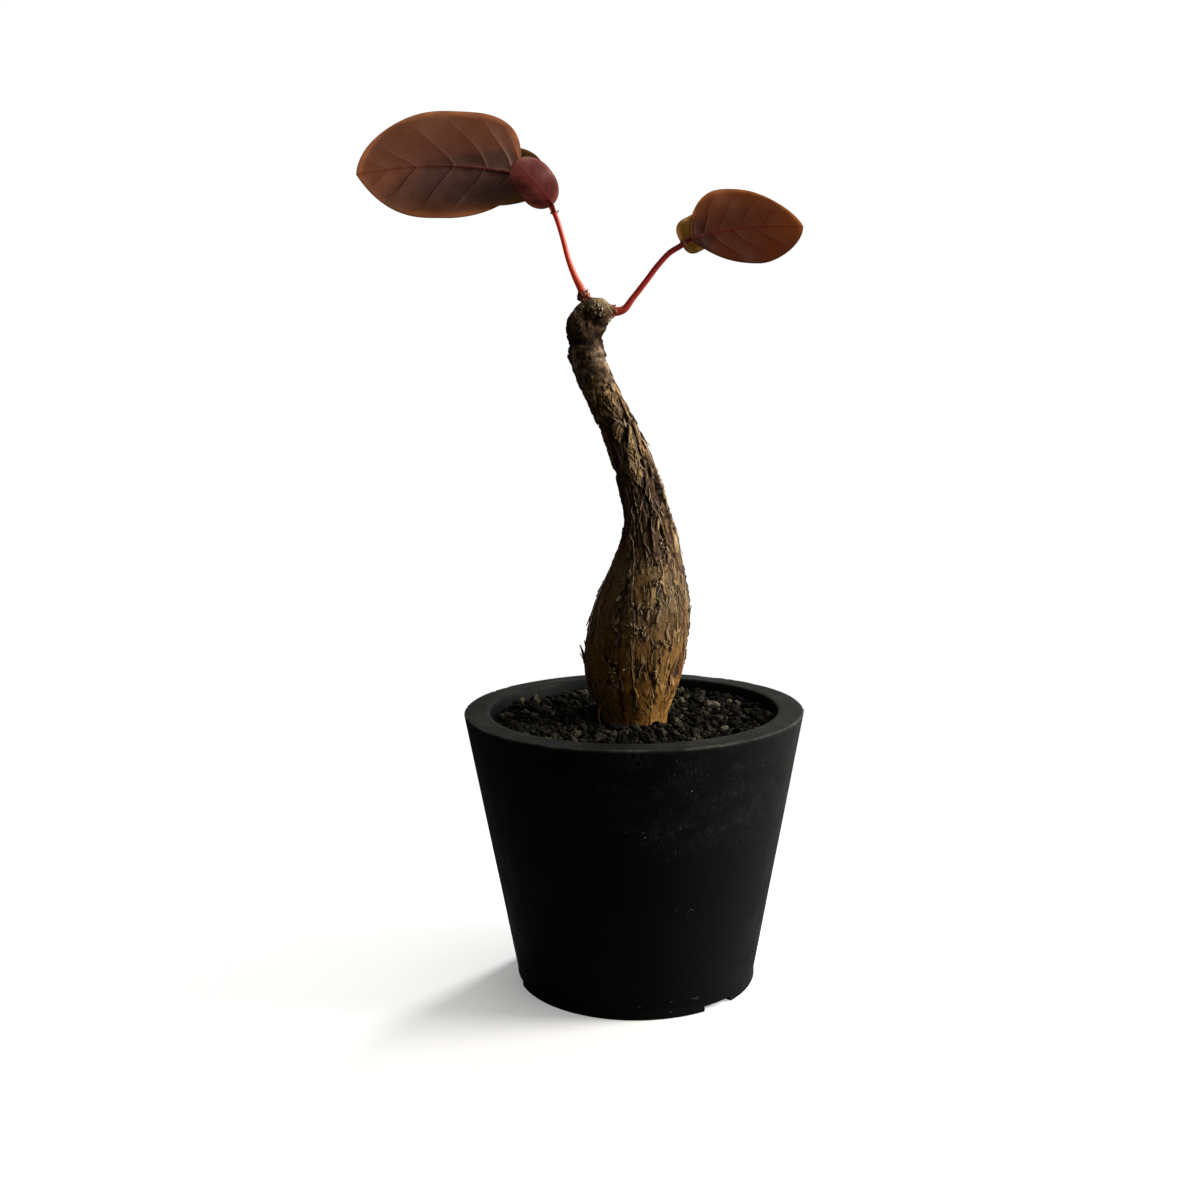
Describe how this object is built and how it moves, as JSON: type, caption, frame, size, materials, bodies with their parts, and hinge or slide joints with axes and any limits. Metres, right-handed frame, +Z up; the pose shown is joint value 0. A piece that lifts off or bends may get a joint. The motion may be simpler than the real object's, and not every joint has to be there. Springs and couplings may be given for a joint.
{
  "type": "potted phyllanthus",
  "caption": "Small potted succulent shrub: a swollen bark-covered stem with slender branchlets and thin oval leaves, in a tapered black plastic pot filled with grit.",
  "frame": {"origin": "middle of the whole plant and pot's bounding box in X and Y, at the pot's foot; the pot's own axis stands 11.0 mm along +X from it, because the leaves reach further to one side", "axes": "+Z up, +Y away from the side that the picture shows, +X to the right in it"},
  "size_m": [0.108, 0.086, 0.2185],
  "materials": {
    "pot_plastic": "matte moulded plastic, dusty and lightly scuffed",
    "grit": "rough volcanic grit",
    "bark": "rough flaking bark",
    "left_stem": "smooth waxy skin",
    "right_stem": "smooth waxy skin",
    "maroon_leaf": "satin, veined",
    "olive_leaf": "satin, veined",
    "pink_leaf": "satin, veined",
    "rust_leaf": "satin, veined",
    "golden_leaf": "satin, veined"
  },
  "bodies": {
    "root": {"pot": "pot_plastic", "soil": "grit", "caudex": "bark", "branchlet_left": "left_stem", "branchlet_right": "right_stem", "leaf_left_large": "maroon_leaf", "leaf_left_middle": "olive_leaf", "leaf_left_small": "pink_leaf", "leaf_right_large": "rust_leaf", "leaf_right_small": "golden_leaf"}
  },
  "joints": []
}
